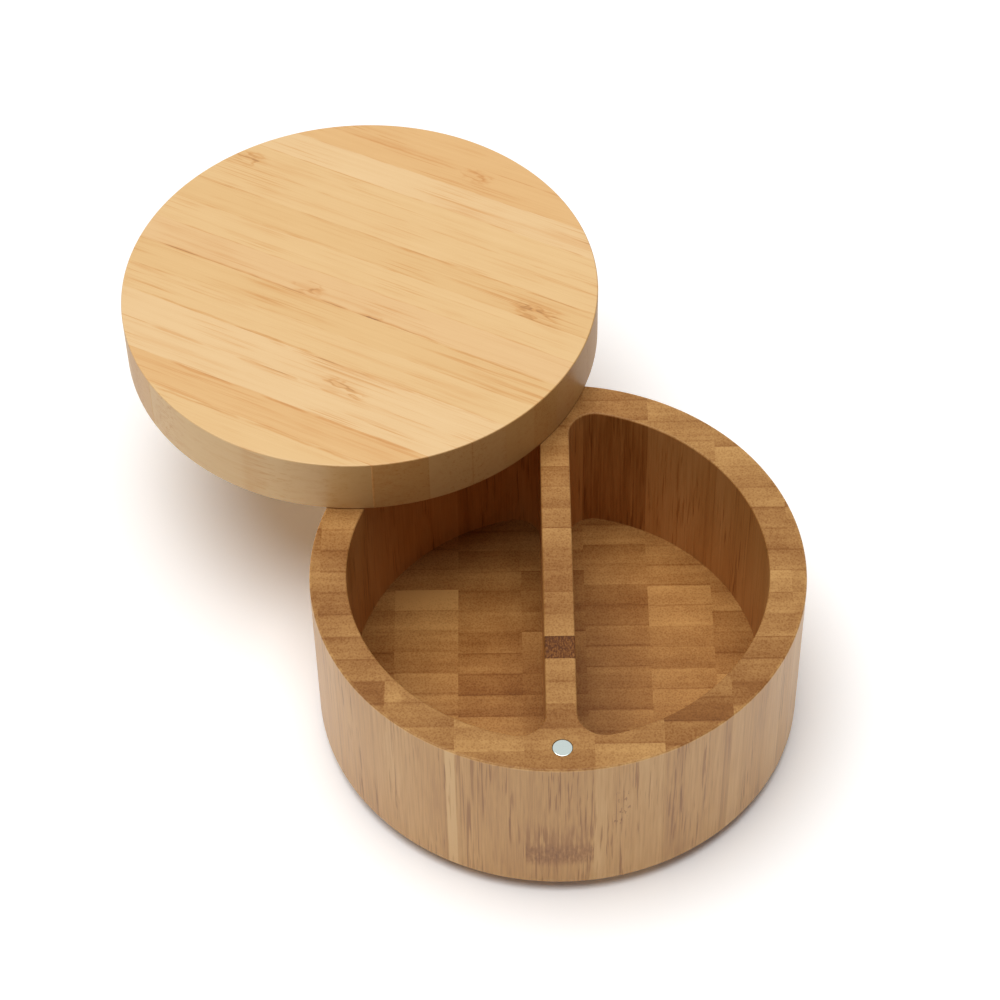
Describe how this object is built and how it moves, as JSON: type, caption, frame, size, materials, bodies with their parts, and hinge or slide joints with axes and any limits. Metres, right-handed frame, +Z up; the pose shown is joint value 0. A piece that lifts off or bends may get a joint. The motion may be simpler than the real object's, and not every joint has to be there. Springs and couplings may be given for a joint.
{
  "type": "salt box",
  "caption": "Round bamboo salt box split into D-shaped compartments, with a thick disc lid that swivels on an upright pin and closes on a magnetic catch.",
  "frame": {"origin": "centre of the box's base, on the surface that it stands on", "axes": "+Z up; +Y towards the pivot pin at the back; -Y towards the magnet at the front"},
  "size_m": [0.1794, 0.2124, 0.0698],
  "materials": {
    "box_bamboo": "satin, end grain, brown",
    "lid_bamboo": "satin, long grain, honey",
    "pin_steel": "satin",
    "magnet_plating": "plated, satin"
  },
  "bodies": {
    "box": {"box_beam_1": "box_bamboo", "box_beam_2": "box_bamboo", "box_beam_3": "box_bamboo", "box_beam_4": "box_bamboo", "box_beam_5": "box_bamboo", "box_beam_6": "box_bamboo", "box_beam_7": "box_bamboo", "box_beam_8": "box_bamboo", "box_beam_9": "box_bamboo", "pivot_pin": "pin_steel", "box_magnet": "magnet_plating"},
    "lid": {"lid_strip_1": "lid_bamboo", "lid_strip_2": "lid_bamboo", "lid_strip_3": "lid_bamboo", "lid_strip_4": "lid_bamboo", "lid_strip_5": "lid_bamboo", "lid_strip_6": "lid_bamboo", "lid_strip_7": "lid_bamboo", "lid_strip_8": "lid_bamboo", "lid_strip_9": "lid_bamboo", "lid_strip_10": "lid_bamboo", "lid_strip_11": "lid_bamboo", "lid_strip_12": "lid_bamboo", "lid_strip_13": "lid_bamboo", "lid_strip_14": "lid_bamboo", "lid_magnet": "magnet_plating"}
  },
  "joints": [
    {"name": "lid_swivel", "type": "hinge", "parent": "box", "child": "lid", "pos_m": [0, 0.0581, 0.05295], "axis": [0, 0, 1], "range_deg": [-242.8, 117.2]}
  ]
}
